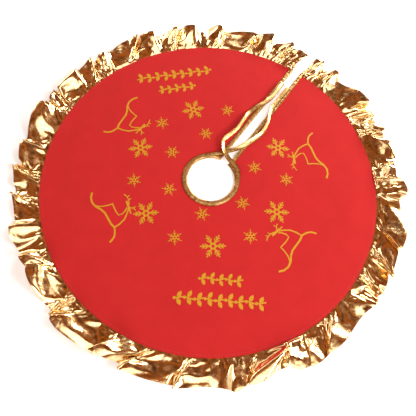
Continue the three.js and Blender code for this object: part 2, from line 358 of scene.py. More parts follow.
@dataclass(frozen=True)
class FoilLame(Finish):
    """Knitted cloth faced with bonded gold foil: a true metal, crinkled where it was gathered."""

    name: str
    pale: str
    deep: str
    smoothest: float
    roughest: float
    crinkle: float  # mm between the creases pressed in by gathering
    crease_depth: float = 0.7  # mm
    grain: float = 1.6  # mm; the knit under the foil is 0.6 mm, drawn as coarse as shows
    pressed_edge: str | None = None  # the colour of the painted shade along a folded tape's two rolled edges

    def paint_edge_shade(self, tree: bpy.types.NodeTree, tint: bpy.types.NodeSocket) -> bpy.types.NodeSocket:
        """Darkens a tape along its two ironed edges with painted shade, where the rolled edges turn from the
        light.

        Args:
            tree: The material's node tree.
            tint: The colour of the tape's middle.

        Returns:
            The colour all over the tape.
        """
        place = add_node(tree, "ShaderNodeUVMap", uv_map="along")
        across = add_node(tree, "ShaderNodeSeparateXYZ", {0: place})
        off = add_node(tree, "ShaderNodeMath", {0: across.outputs["Y"], 1: 0.5}, operation="SUBTRACT")
        far = add_node(tree, "ShaderNodeMath", {0: off}, operation="ABSOLUTE")
        # painted shade: how far towards the tape's two edges its colour darkens
        edge = add_node(tree, "ShaderNodeMapRange", {"Value": far, "From Min": 0.26, "From Max": 0.42})
        return add_node(tree, "ShaderNodeMix", {
            "Factor": edge, 6: tint, 7: linear(self.pressed_edge)}, data_type="RGBA").outputs[2]

    def material(self) -> bpy.types.Material:
        """Builds the foil cloth's material."""
        material, tree, place = self.begin()
        warp = add_node(tree, "ShaderNodeTexNoise", {
            "Vector": place, "Scale": per_mm(self.crinkle * 2), "Detail": 2.0})
        bent = add_node(tree, "ShaderNodeMix", {
            "Factor": 0.012, 4: place, 5: warp.outputs["Color"]}, data_type="VECTOR")
        creases = add_node(tree, "ShaderNodeTexVoronoi", {
            "Vector": bent.outputs[1], "Scale": per_mm(self.crinkle), "Randomness": 1.0},
            feature="DISTANCE_TO_EDGE")
        lines = add_node(tree, "ShaderNodeMapRange", {"Value": creases, "From Max": 0.28},
                         interpolation_type="SMOOTHSTEP")
        dents = add_node(tree, "ShaderNodeTexNoise", {
            "Vector": place, "Scale": per_mm(self.crinkle * 0.7), "Detail": 2.5, "Roughness": 0.5})
        knit = add_node(tree, "ShaderNodeTexVoronoi", {"Vector": place, "Scale": per_mm(self.grain)})
        tone = add_node(tree, "ShaderNodeMapRange", {"Value": dents, "From Min": 0.3, "From Max": 0.7})
        tint = add_node(tree, "ShaderNodeMix", {
            "Factor": tone, 6: linear(self.deep), 7: linear(self.pale)}, data_type="RGBA").outputs[2]
        if self.pressed_edge:
            tint = self.paint_edge_shade(tree, tint)
        rough = add_node(tree, "ShaderNodeMapRange", {
            "Value": dents, "From Min": 0.3, "From Max": 0.7, "To Min": self.roughest,
            "To Max": self.smoothest})
        normal = None
        for height, strength, depth in (
            (lines, 0.14, self.crease_depth), (dents, 0.12, self.crease_depth * 2), (knit, 0.12, 0.15),
        ):
            normal = add_node(tree, "ShaderNodeBump", {
                "Height": height, "Strength": strength, "Distance": depth * MM,
                **({"Normal": normal} if normal else {})})
        self.end(tree, {
            "Base Color": tint, "Metallic": 1.0, "Roughness": rough, "Coat Weight": 0.7,
            "Coat Roughness": 0.12, "Coat IOR": 1.5, "Normal": normal})
        return material


@dataclass(frozen=True)
class FoilPrint(Finish):
    """Hot-stamped gold foil on felt: thin, slightly broken up where it bridges the fibres."""

    name: str
    pale: str
    deep: str
    speck: float = 1.8  # mm between breaks in the foil

    def material(self) -> bpy.types.Material:
        """Builds the print's material."""
        material, tree, place = self.begin()
        breaks = add_node(tree, "ShaderNodeTexNoise", {
            "Vector": place, "Scale": per_mm(self.speck), "Detail": 5.0, "Roughness": 0.7})
        wear = add_node(tree, "ShaderNodeMapRange", {"Value": breaks, "From Min": 0.35, "From Max": 0.65})
        colour = add_node(tree, "ShaderNodeMix", {
            "Factor": wear, 6: linear(self.deep), 7: linear(self.pale)}, data_type="RGBA")
        rough = add_node(tree, "ShaderNodeMapRange", {"Value": breaks, "To Min": 0.6, "To Max": 0.35})
        bump = add_node(tree, "ShaderNodeBump", {"Height": breaks, "Strength": 0.4, "Distance": 0.2 * MM})
        self.end(tree, {
            "Base Color": colour.outputs[2], "Metallic": 0.15, "Specular IOR Level": 0.3,
            "Roughness": rough, "Normal": bump})
        return material


@dataclass(frozen=True)
class TwistedThread(Finish):
    """Spun polyester sewing thread: a faint sheen and a twist that reads as fine stripes, with painted shade
    in the twist's grooves.
    """

    name: str
    colour: str
    ply: float = 0.6  # mm; a real ply is 0.2 mm, drawn as coarse as shows

    def material(self) -> bpy.types.Material:
        """Builds the thread's material."""
        material, tree, place = self.begin()
        twist = add_node(tree, "ShaderNodeTexWave", {
            "Vector": place, "Scale": per_mm(self.ply) / 20, "Distortion": 2.0},
            bands_direction="DIAGONAL")
        stripes = twist.outputs["Fac"]
        # painted shade: the thread is darker in the grooves of its twist than its own colour
        groove_shade = tuple(c * 0.7 for c in linear(self.colour)[:3]) + (1.0,)
        colour = add_node(tree, "ShaderNodeMix", {
            "Factor": stripes, 6: groove_shade, 7: linear(self.colour)}, data_type="RGBA")
        bump = add_node(tree, "ShaderNodeBump", {"Height": stripes, "Strength": 0.3, "Distance": 0.1 * MM})
        self.end(tree, {
            "Base Color": colour.outputs[2], "Roughness": 0.55, "Sheen Weight": 0.2, "Normal": bump})
        return material


# polyester felt, needle-punched and pressed: scatters light evenly, so the panel reads as flat deep red
PANEL_FELT = NeedledFelt("needled_red_felt", "#A91F1E", "#9E1B1B")
# the same felt, thinner and looser: duller and darker than the face, with larger tufts
LINING_FELT = NeedledFelt("needled_dark_red_lining", "#84201E", "#701818", fibre=1.6)
# knit with bonded foil, crushed by gathering: sharp pale flashes beside deep brown folds
RUFFLE_LAME = FoilLame("crinkled_gold_foil_lame", "#F8D89C", "#ECC588", smoothest=0.1, roughest=0.26,
                       crinkle=14.0)
# the same foil knit ironed into a folded tape: a calmer shine, with painted brown shade along its two edges
TAPE_LAME = FoilLame("pressed_pale_gold_lame_tape", "#F0D296", "#D8AF66", smoothest=0.22, roughest=0.4,
                     crinkle=6.0, crease_depth=0.35, pressed_edge="#A9701F")
# foil film stamped on with heat: a matt, mustard gold with little reflection, because felt lies under it
PRINT_FOIL = FoilPrint("hot_stamped_gold_foil", "#C08A1C", "#A56F12")
# spun polyester thread in the cloths' colours: fine raised dashes along each seam
RED_THREAD = TwistedThread("spun_red_thread", "#9F1E1F")
GOLD_THREAD = TwistedThread("spun_gold_thread", "#B98A36")


# ---- sizes from the frame


@dataclass(frozen=True)
class SkirtSizes:
    """The sizes that the pieces share, in metres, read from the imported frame."""

    rim: float = -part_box("panel_main")[0].y  # radius of the felt panel
    hem: float = -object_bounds()[0].y  # radius of the ruffle's hem
    neck: float = -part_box("neck_tape")[0].y - 13 * MM  # clear radius round the trunk
    slit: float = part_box("slit_tape_right")[0].x  # half the gap between the slit's edges
    tape: float = 13 * MM  # seen width of a folded tape
    tape_top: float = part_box("neck_tape")[1].z
    panel_under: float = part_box("panel_main")[0].z
    panel_top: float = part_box("panel_main")[1].z
    print_under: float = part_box("deer_1")[0].z
    fold_start: float = 112 * MM  # where the fold lines leave the slit
    fold_angle: float = math.radians(24)  # between a fold line and the slit
    fold_band: float = 14 * MM  # half the width of cloth that turns in a fold


SIZES = SkirtSizes()


@dataclass(frozen=True)
class Ripple:
    """One long faint wave of the cloth that lies on the floor."""

    height: float  # mm
    sideways: float  # radians of the wave in each metre along X
    ahead: float  # radians of the wave in each metre along Y
    start: float  # radians

    def at(self, x: Points, y: Points) -> Points:
        """The wave's height in metres at each place."""
        return self.height * MM * np.sin(self.sideways * x + self.ahead * y + self.start)


RIPPLES = (Ripple(0.55, 17.0, 9.0, 0.4), Ripple(0.44, -11.0, 21.0, 2.1),
           Ripple(0.33, 31.0, -14.0, 4.0), Ripple(0.242, 25.0, 37.0, 1.2))
MEAN_LIFT = 1.43 * MM  # between the ripples' highs and lows


def lift(x: Points, y: Points) -> Points:
    """How far the cloth lies above the floor, in metres: faint ripples, flat at every edge.

    Args:
        x: Sideways places in metres.
        y: Places along the slit's direction in metres.

    Returns:
        The height to add at each place.
    """
    radius = np.hypot(x, y)
    clear_of_neck = smooth(SIZES.neck + 12 * MM, 0.13, radius)
    clear_of_rim = 1 - smooth(0.33, SIZES.rim - 4 * MM, radius)
    clear_of_slit = np.where(y > 0, smooth(SIZES.slit, 0.06, np.abs(x)), 1.0)
    waves = sum(ripple.at(x, y) for ripple in RIPPLES)
    return (MEAN_LIFT + waves) * clear_of_neck * clear_of_rim * clear_of_slit


def fold_with(piece: bpy.types.Object) -> None:
    """Bakes a piece's placement into its mesh."""
    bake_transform(piece)


def polar(side: Side, radius: Points, turn: Points) -> tuple[Points, Points]:
    """Places on one half of the skirt, by radius and the turn from the side away from the slit."""
    return side.value * radius * np.sin(turn), -radius * np.cos(turn)


# ---- the stage


@dataclass(frozen=True)
class SoftBox:
    """A soft panel light that faces the middle of the skirt."""

    name: str
    place: tuple[float, float, float]
    size: tuple[float, float]
    power: float  # W

    def hang(self) -> None:
        """Puts the light in the scene."""
        data = bpy.data.lights.new(self.name, "AREA")
        data.shape, data.size, data.size_y, data.energy = "RECTANGLE", *self.size, self.power
        lamp = put_in_scene(self.name, data)
        lamp.location = self.place
        lamp.rotation_euler = (-Vector(self.place)).to_track_quat("-Z", "Y").to_euler()


@dataclass
class Stage:
    """The floor, the lights and the camera."""

    aim: tuple[float, float, float] = (0.0374, -0.0632, 0.0)
    azimuth: float = 29.156  # degrees
    elevation: float = 69.152
    distance: float = 0.8732
    roll: float = 7.187
    lens: float = 32.79  # mm on a 36 mm sensor
    boxes: Sequence[SoftBox] = (
        SoftBox("soft_left", (-2.2, 0.5, 1.3), (1.2, 0.7), 14.0),
        SoftBox("soft_right", (2.2, 0.5, 1.3), (1.2, 0.7), 70.0),
        SoftBox("soft_back", (0.2, 2.2, 0.85), (2.4, 0.5), 75.0),
        SoftBox("soft_front", (0.4, -2.4, 0.8), (1.6, 0.5), 45.0),
    )
    dim: float = 0.15  # strength of the dark room round the overhead light
    bright: float = 4.4  # strength of the white light overhead
    overhead: tuple[float, float, float] = (0.25, -0.12, 0.96)  # the way to that light's middle
    spread: tuple[float, float] = (10.0, 27.0)  # degrees from its middle where it starts to fade and ends
    wall: float = 0.22  # share of that strength on the pale wall all round, low down
    floor_half: float = 9.0
    floor_drop: float = 0.4 * MM

    def camera(self) -> None:
        """Puts the camera over the skirt, tilted and rolled a little."""
        a, e = math.radians(self.azimuth), math.radians(self.elevation)
        back = Vector((math.sin(a) * math.cos(e), -math.cos(a) * math.cos(e), math.sin(e)))
        data = bpy.data.cameras.new("camera")
        data.lens, data.clip_start, data.clip_end = self.lens, 0.05, 50.0
        camera = put_in_scene("camera", data)
        camera.location = Vector(self.aim) + back * self.distance
        camera.rotation_mode = "QUATERNION"
        turn = Quaternion((0, 0, 1), math.radians(self.roll))
        camera.rotation_quaternion = (-back).to_track_quat("-Z", "Y") @ turn
        bpy.context.scene.camera = camera

    def floor(self) -> None:
        """Lays a plain pale floor."""
        finish = bpy.data.materials.new("matt_white_paint")
        finish.use_nodes = True
        shader = finish.node_tree.nodes["Principled BSDF"]
        shader.inputs["Base Color"].default_value = linear("#F6F5F3")
        shader.inputs["Roughness"].default_value = 0.9
        half, z = self.floor_half, -self.floor_drop
        mesh = bpy.data.meshes.new("floor")
        mesh.from_pydata([(-half, -half, z), (half, -half, z), (half, half, z), (-half, half, z)], [],
                         [(0, 1, 2, 3)])
        mesh.materials.append(finish)
        put_in_scene("floor", mesh)

    def surroundings(self) -> None:
        """Gives the room round the skirt: a soft white light overhead, warm and dim beside it."""
        world = bpy.data.worlds.new("studio")
        bpy.context.scene.world = world
        world.use_nodes = True
        tree = world.node_tree
        tree.nodes.clear()
        way = add_node(tree, "ShaderNodeTexCoord").outputs["Generated"]
        height = add_node(tree, "ShaderNodeSeparateXYZ", {0: way}).outputs["Z"]
        toward = add_node(tree, "ShaderNodeVectorMath", {0: way, 1: self.overhead}, operation="DOT_PRODUCT")
        inside, outside = (math.cos(math.radians(angle)) for angle in self.spread)
        lamp = add_node(tree, "ShaderNodeMapRange", {
            "Value": toward.outputs["Value"], "From Min": outside, "From Max": inside},
            interpolation_type="SMOOTHSTEP")
        low = add_node(tree, "ShaderNodeMapRange", {"Value": height, "From Min": 0.44, "From Max": 0.3},
                       interpolation_type="SMOOTHSTEP")
        wall = add_node(tree, "ShaderNodeMath", {0: low, 1: self.wall}, operation="MULTIPLY")
        patches = add_node(tree, "ShaderNodeTexNoise", {"Vector": way, "Scale": 3.2, "Detail": 1.0})
        uneven = add_node(tree, "ShaderNodeMapRange", {
            "Value": patches, "From Min": 0.35, "From Max": 0.65, "To Min": 0.3, "To Max": 1.0})
        panels = add_node(tree, "ShaderNodeMath", {0: lamp, 1: uneven}, operation="MULTIPLY")
        lit = add_node(tree, "ShaderNodeMath", {0: panels, 1: wall}, operation="MAXIMUM")
        beams = add_node(tree, "ShaderNodeTexNoise", {"Vector": way, "Scale": 5.5, "Detail": 2.0})
        room = add_node(tree, "ShaderNodeMapRange", {
            "Value": beams, "From Min": 0.36, "From Max": 0.66, "To Min": self.dim * 0.45,
            "To Max": self.dim * 3.2})
        strength = add_node(tree, "ShaderNodeMapRange", {"Value": lit, "To Min": room, "To Max": self.bright})
        share = add_node(tree, "ShaderNodeMapRange", {"Value": lit, "From Max": 0.2})
        colour = add_node(tree, "ShaderNodeMix", {
            "Factor": share, 6: linear("#FC9142"), 7: linear("#FBF9F6")}, data_type="RGBA")
        ground = add_node(tree, "ShaderNodeBackground", {"Color": colour.outputs[2], "Strength": strength})
        add_node(tree, "ShaderNodeOutputWorld", {"Surface": ground})

    def build(self) -> None:
        """Sets the whole stage."""
        bpy.context.scene.view_settings.view_transform = "Standard"
        self.camera()
        self.floor()
        for box in self.boxes:
            box.hang()
        self.surroundings()


# ---- the ties


@dataclass
class Tie:
    """One ribbon tie, cut from folded foil tape, from the neck to its free end."""

    side: Side
    route: Sequence[tuple[float, float]]  # mm, as the CAD lays it
    twist: Sequence[float]  # degrees of roll about its own line, one for each point
    rest: float  # mm above the floor of a flat stretch
    ramp: tuple[float, float]  # mm along Y, the span where the tie passes from the skirt onto its flap
    width: float = 11 * MM
    thickness: float = 0.7 * MM
    steps: int = 150
    across: int = 9

    def centreline(self) -> tuple[Points, Points, Points]:
        """Lays the ribbon's middle over the cloth, higher where the ribbon stands on its edge.

        Returns:
            The middle's points, the distance run to each, and the ribbon's roll there.
        """
        raw = np.column_stack([np.array(self.route, float) * MM, np.zeros(len(self.route)),
                               np.radians(self.twist)])
        line = spline_through(raw, self.steps)
        run = distance_run(line[:, :2])
        roll = line[:, 3] + 0.12 * perlin(run, 30 * MM, 3.7 + self.side.value)
        wave = 0.7 * MM * np.abs(perlin(run, 45 * MM, 9.1 + self.side.value))
        on_edge = self.width / 2 * np.abs(np.sin(roll))
        line[:, 2] = self.rest * MM + lift(line[:, 0], line[:, 1]) + on_edge + wave
        return line[:, :3], run, roll

    def build(self, finish: bpy.types.Material) -> None:
        """Args:
            finish: The material of the foil tape.
        """
        line, run, roll = self.centreline()
        along = np.gradient(line, axis=0)
        along /= np.linalg.norm(along, axis=1, keepdims=True)
        flat = np.cross(np.array([0, 0, 1.0]), along)
        flat /= np.linalg.norm(flat, axis=1, keepdims=True)
        up = np.cross(along, flat)
        wide = flat * np.cos(roll)[:, None] + up * np.sin(roll)[:, None]
        face = np.cross(along, wide)
        place = np.linspace(-1, 1, self.across)
        # a folded tape is thickest at its two rolled edges and along the seam in its middle
        thick = self.thickness * (0.55 + 0.45 * np.abs(place) ** 6 + 0.2 * np.exp(-((place / 0.12) ** 2)))
        cup = 0.5 * MM * place**2
        middle = (line[:, None] + wide[:, None] * (place * self.width / 2)[:, None]
                  + face[:, None] * cup[:, None])
        wall = face[:, None] * thick[:, None] / 2
        uv = np.stack(np.broadcast_arrays(run[:, None], (place[None, :] + 1) / 2), axis=2)
        ribbon = shell(f"tie_{self.side.word}_ribbon", middle + wall, middle - wall, 60.0, uv)
        dress(ribbon, finish)
        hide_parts(f"tie_{self.side.word}_neck_end", f"tie_{self.side.word}_tail")
        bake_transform(ribbon)


TIES = (
    Tie(Side.RIGHT,
        route=[(-46, 42), (-31, 58), (-17, 74), (2, 100), (10, 114), (18, 132), (25, 156), (29, 180),
               (23, 212), (14, 236), (9.5, 262), (9.5, 298), (9.5, 335)],
        twist=[-10, -10, -8, 5, 15, 25, 30, 35, 40, 35, 20, 10, 20], rest=4.1, ramp=(104, 160)),
    Tie(Side.LEFT,
        route=[(53, 37), (33, 59), (4, 68), (-15, 79), (-26, 87), (-34, 98), (-35, 110), (-30, 132),
               (-27, 155), (-29, 182), (-28, 210), (-24, 234), (-14, 258), (-9.5, 280), (-9.5, 310),
               (-9.5, 340)],
        twist=[-8, -8, -5, 10, 30, 45, 55, 55, 50, 40, 5, 0, 20, 35, 30, 20], rest=4.9, ramp=(120, 170)),
)


# ---- the cloths


@dataclass
class ClothDisc:
    """A round felt sheet with a neck hole and a slit, in two halves that meet opposite the slit."""

    name: str
    inner: float
    outer: float
    edge: float  # half the width left open at the slit
    under: float
    top: float
    slot: str
    nodes: dict[Side, Sequence[str]]  # the CAD nodes that each half stands for
    rows: int = 76
    columns: int = 190

    def half(self, side: Side, finish: bpy.types.Material) -> None:
        """Args:
            side: Which half.
            finish: The felt's material.
        """
        radius = np.linspace(self.inner, self.outer, self.rows)[:, None]
        share = np.linspace(0, 1, self.columns)[None, :]
        turn = share * (math.pi - np.arcsin(self.edge / radius))
        x, y = polar(side, radius + 0 * turn, turn)
        height = lift(x, y)
        # the cut edge is pressed thinner by the seam
        crush = 0.25 * MM * (smooth(self.outer - 4 * MM, self.outer, radius) + 0 * turn)
        top = np.stack([x, y, self.top + height - crush], axis=2)
        under = np.stack([x, y, self.under + height + crush * 0.5], axis=2)
        piece = dress(shell(f"{self.name}_{side.word}", top, under), finish)
        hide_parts(*self.nodes[side])
        fold_with(piece)
        log.info("%s done", piece.name)


# ---- the ruffle


@dataclass
class Ruffle:
    """A strip of foil cloth gathered under the panel's rim into irregular pleats."""

    pleats: int = 42
    across: int = 21  # columns for each pleat
    rows: int = 15
    header: float = 12 * MM  # sewn under the panel's rim
    hem_turn: float = 2 * MM  # turned up along the free edge
    thickness: float = 0.5 * MM
    height: float = 36 * MM  # of the tallest pleat before it falls
    tallest: float = 27 * MM  # of the tallest pleat afterwards
    spacing_run: float = 4.0  # m counted from end to end when puckers and dents are spaced
    widths: tuple[float, float] = (0.5, 1.5)  # narrowest and widest pleat, as a share of the mean
    heights: tuple[float, float] = (0.55, 1.0)  # lowest and tallest pleat
    peaks: tuple[float, float] = (0.42, 0.7)  # how far along itself a pleat is tallest
    leans: tuple[float, float] = (0.05, 0.6)  # how many pleat widths its top leans over
    foot: tuple[float, float] = (3.0, 12.0)  # mm the hem stands off the floor
    drift: float = 0.006  # sideways wander of the hem, as a share of the rim
    uneven_cut: float = 6.0  # mm
    tuck: float = 0.4 * MM  # depth of the small puckers at the seam
    tuck_pitch: float = 30 * MM
    dent: float = 0.4  # mm
    dent_size: float = 22 * MM
    seam_at: float = 0.16  # share of the strip's width that is under the rim
    held_rows: int = 4
    frames: int = 9
    seed: int = 11
    strip: Points = field(init=False, repr=False)

    def gathered(self) -> Points:
        """The strip as it is sewn on, with every pleat still standing.

        Returns:
            Points, rows from the seam to the hem by columns from the slit's right side to its left.
        """
        n, draw = self.pleats, np.random.default_rng(self.seed)
        width = draw.uniform(*self.widths, n)
        width /= width.sum()
        begin = np.concatenate([[0], np.cumsum(width)[:-1]])
        tall = draw.uniform(*self.heights, n)
        peak = draw.uniform(*self.peaks, n)
        lean = draw.uniform(*self.leans, n)
        share = np.linspace(0, 1, n * self.across + 1)
        which = np.minimum((share * n).astype(int), n - 1)
        p = np.clip(share * n - which, 0, 1)
        bend = np.where(p < peak[which], p / (2 * peak[which]),
                        0.5 + (p - peak[which]) / (2 * (1 - peak[which])))
        stand = tall[which] * (1 - np.cos(2 * np.pi * bend)) / 2
        ahead = p + lean[which] * np.sin(np.pi * bend) ** 2
        u_hem = begin[which] + width[which] * ahead
        u_seam = begin[which] + width[which] * p
        t = np.linspace(0, 1, self.rows)[:, None]
        free = np.clip((t - self.seam_at) / (1 - self.seam_at), 0, 1)
        flare = 0.4 * smooth(self.seam_at, 1.0, t) + 0.6 * free
        ends = smooth(0, 0.01, share) * (1 - smooth(0.99, 1.0, share))
        wander = self.scatter(draw, share, n * 2, (-self.drift, self.drift)) * ends
        u = u_seam + (u_hem - u_seam) * flare + wander * t
        cut = self.scatter(draw, share, n * 3, (-1, 1)) * self.uneven_cut * MM
        inner = SIZES.rim - self.header
        radius = inner + (SIZES.hem - inner) * t + cut * t**2
        turn = (2 * u - 1) * (math.pi - np.arcsin(SIZES.slit / radius))
        run = share * self.spacing_run
        pucker = np.sin(2 * np.pi * (run / self.tuck_pitch + 0.35 * np.sin(run / 0.05)))
        tucks = self.tuck * pucker * smooth(0.15, 0.26, t) * (1 - smooth(0.3, 0.8, t))
        foot = self.scatter(draw, share, n, self.foot) * MM * smooth(0.2, 1.0, t)
        z = 0.5 * MM + self.height * stand * flare + tucks + 2.4 * MM * smooth(0.15, 0.3, t) + foot
        return np.stack([-radius * np.sin(turn), -radius * np.cos(turn), z + 0 * turn], axis=2)

    def scatter(self, draw: np.random.Generator, share: Points, count: int,
                limits: tuple[float, float]) -> Points:
        """Random values at even places, read off in between at each share of the strip."""
        return np.interp(share, np.linspace(0, 1, count), draw.uniform(*limits, count))

    def fallen(self, grid: Points) -> Points:
        """Lets the gathered strip fall and crumple under its own weight, held at its seam.

        Args:
            grid: The strip's points before it falls.

        Returns:
            The strip's points afterwards, in the same layout.
        """
        rows, columns = grid.shape[:2]
        mesh = bpy.data.meshes.new("falling_strip")
        mesh.from_pydata(grid.reshape(-1, 3).tolist(), [], grid_faces(rows, columns))
        strip = put_in_scene("falling_strip", mesh)
        floor = put_in_scene("hard_floor", bpy.data.objects["floor"].data.copy())
        held = strip.vertex_groups.new(name="seam")
        held.add(list(range(columns * self.held_rows)), 1.0, "REPLACE")
        floor.modifiers.new("floor", "COLLISION")
        floor.collision.thickness_outer = 0.5 * MM
        cloth = strip.modifiers.new("fall", "CLOTH")
        cloth.point_cache.frame_start, cloth.point_cache.frame_end = 1, self.frames
        for name, value in (("quality", 7), ("mass", 0.05), ("tension_stiffness", 30.0),
                            ("compression_stiffness", 30.0), ("shear_stiffness", 12.0),
                            ("bending_stiffness", 24.0), ("air_damping", 1.0), ("shrink_min", -0.02),
                            ("vertex_group_mass", "seam")):
            setattr(cloth.settings, name, value)
        touch = cloth.collision_settings
        touch.use_self_collision, touch.collision_quality = True, 3
        touch.distance_min, touch.self_distance_min = 0.8 * MM, 1.6 * MM
        for step in range(1, self.frames + 1):
            bpy.context.scene.frame_set(step)
        settled = strip.evaluated_get(bpy.context.evaluated_depsgraph_get()).data
        flat = np.empty(rows * columns * 3, np.float32)
        settled.vertices.foreach_get("co", flat)
        bpy.context.scene.frame_set(1)
        for thing in (strip, floor):
            bpy.data.objects.remove(thing)
        return flat.reshape(rows, columns, 3).astype(float)

    def refined(self, grid: Points) -> Points:
        """Doubles a grid's points both ways along smooth curves."""
        for _ in range(2):
            padded = np.concatenate([2 * grid[:1] - grid[1:2], grid, 2 * grid[-1:] - grid[-2:-1]])
            between = (9 * (padded[1:-2] + padded[2:-1]) - padded[:-3] - padded[3:]) / 16
            fine = np.empty((2 * len(grid) - 1, *grid.shape[1:]))
            fine[::2], fine[1::2] = grid, between
            grid = fine.swapaxes(0, 1)
        return grid

    def make_strip(self) -> None:
        """Gathers the strip, lets it fall, and keeps it for both halves."""
        grid = self.gathered()
        grid = self.fallen(grid)
        high, soft = grid[..., 2], 9 * MM
        knee = self.tallest - soft  # above this a pleat is pressed down, more the taller it is
        grid[..., 2] = np.where(high > knee, knee + soft * np.tanh((high - knee) / soft), high)
        self.strip = self.refined(grid)

    def half(self, side: Side, finish: bpy.types.Material) -> None:
        """Args:
            side: Which half.
            finish: The foil cloth's material.
        """
        middle = self.strip.shape[1] // 2
        t = np.linspace(0, 1, self.strip.shape[0])[:, None]
        run = np.linspace(0, self.spacing_run, self.strip.shape[1])[None, :]
        normal = grid_normals(self.strip)
        flat = np.stack(np.broadcast_arrays(run, t * 0.07, 0.0), axis=2).reshape(-1, 3)
        dents = self.dent * perlin(flat, self.dent_size, 5.9).reshape(normal.shape[:2])
        surface = self.strip + normal * (dents * MM * smooth(0.17, 0.4, t))[..., None]
        hem = 0.5 * MM * smooth(0.9, 0.93, t) * (1 + 0 * run)  # the hem is turned up once
        over = surface + normal * ((self.thickness + hem) / 2)[..., None]
        under = surface - normal * ((self.thickness + hem) / 2)[..., None]
        rise = np.maximum(0.1 * MM - np.minimum(over[..., 2], under[..., 2]), 0)
        over[..., 2] += rise
        under[..., 2] += rise
        part = slice(0, middle + 1) if side is Side.RIGHT else slice(middle, None)
        piece = shell(f"ruffle_{side.word}", over[:, part], under[:, part], 75.0)
        dress(piece, finish)
        nodes = {Side.LEFT: ("ruffle_strip_1", "ruffle_strip_2", "ruffle_flap_left"),
                 Side.RIGHT: ("ruffle_strip_3", "ruffle_strip_4", "ruffle_flap_right")}
        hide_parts(*nodes[side])
        fold_with(piece)


# ---- the tapes


@dataclass
class EdgeTape:
    """A foil tape folded over a cut edge: a U in section, a little puffed and puckered."""

    width: float = 13 * MM
    leg: float = 0.8 * MM
    puff: float = 0.7 * MM

    def section(self) -> Points:
        """The closed section, as depth into the cloth and height, in metres."""
        w, top, leg = self.width / MM, SIZES.tape_top / MM, self.leg / MM
        outside = [(w, top - leg), (w - 0.15, top), (w * 0.8, top + 0.3), (w * 0.5, top + 0.55),
                   (w * 0.28, top + 0.45), (2.0, top + 0.1), (0.8, top - 0.3), (0.15, top - 1.0),
                   (0, top / 2), (0.15, 1.0), (0.8, 0.35), (2.0, 0.05), (w * 0.5, 0), (w - 0.15, 0), (w, leg)]
        inside = [(w * 0.5, leg), (1.5, leg), (1.0, leg + 0.3), (1.0, top - leg - 0.3), (1.5, top - leg),
                  (w * 0.5, top - leg)]
        return np.array(outside + inside) * MM

    def sweep(self, name: str, line: Points, inward: Points, finish: bpy.types.Material,
              seed: float) -> bpy.types.Object:
        """Carries the section along a line.

        Args:
            name: The piece's name.
            line: The folded edge's points in metres, in rows of two.
            inward: The unit way from each point into the cloth.
            finish: The tape's material.
            seed: The fixed shift of its puckers.

        Returns:
            The tape's object.
        """
        section = self.section()
        run = distance_run(line)
        pucker, sway = perlin(run, 8 * MM, seed), perlin(run, 30 * MM, seed + 4)
        depth = section[:, 0][None, :] * (1 + 0.06 * sway[:, None])
        upper = smooth(1.6 * MM, SIZES.tape_top, section[:, 1])[None, :]
        middle = np.sin(np.pi * np.clip(section[:, 0] / self.width, 0, 1))[None, :]
        height = section[:, 1][None, :] + upper * middle * self.puff * (pucker[:, None] + 0.3)
        x = line[:, 0][:, None] + inward[:, 0][:, None] * depth
        y = line[:, 1][:, None] + inward[:, 1][:, None] * depth
        rows, columns = x.shape
        verts = np.stack([x, y, height + lift(x, y)], axis=2).reshape(-1, 3)
        last = (rows - 1) * columns
        caps = [tuple(range(columns)), tuple(range(last + columns - 1, last - 1, -1))]
        uv = np.stack(np.broadcast_arrays(run[:, None], section[:, 0][None, :] / self.width), axis=2)
        piece = new_piece(name, verts, grid_faces(rows, columns, loop=True) + caps, 50.0, uv.reshape(-1, 2))
        return dress(piece, finish)


@dataclass
class Bindings:
    """The tape round the neck and the two along the slit."""

    tape: EdgeTape = field(default_factory=EdgeTape)
    narrow: EdgeTape = field(default_factory=lambda: EdgeTape(width=10 * MM))

    def neck(self, finish: bpy.types.Material) -> None:
        """Binds the neck hole's edge."""
        gap = math.asin((SIZES.slit + 0.2 * MM) / SIZES.neck)
        turn = np.linspace(math.pi / 2 + gap, 5 * math.pi / 2 - gap, 300)
        way = np.column_stack([np.cos(turn), np.sin(turn)])
        piece = self.tape.sweep("neck_binding", way * SIZES.neck, way, finish, 1.3)
        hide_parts("neck_tape")
        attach(piece, "skirt")

    def slit(self, side: Side, finish: bpy.types.Material) -> None:
        """Binds one edge of the slit, from the neck's binding to the rim."""
        first = SIZES.neck + self.tape.width + 0.4 * MM
        y = np.linspace(first, SIZES.rim - 0.5 * MM, 260)
        line = np.column_stack([np.full_like(y, side.value * SIZES.slit), y])
        inward = np.column_stack([np.full_like(y, float(side.value)), np.zeros_like(y)])
        piece = self.narrow.sweep(f"slit_binding_{side.word}", line, inward, finish, 6.1 + side.value)
        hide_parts(f"slit_tape_{side.word}_neck_end", f"slit_tape_{side.word}")
        fold_with(piece)


# ---- the stitches


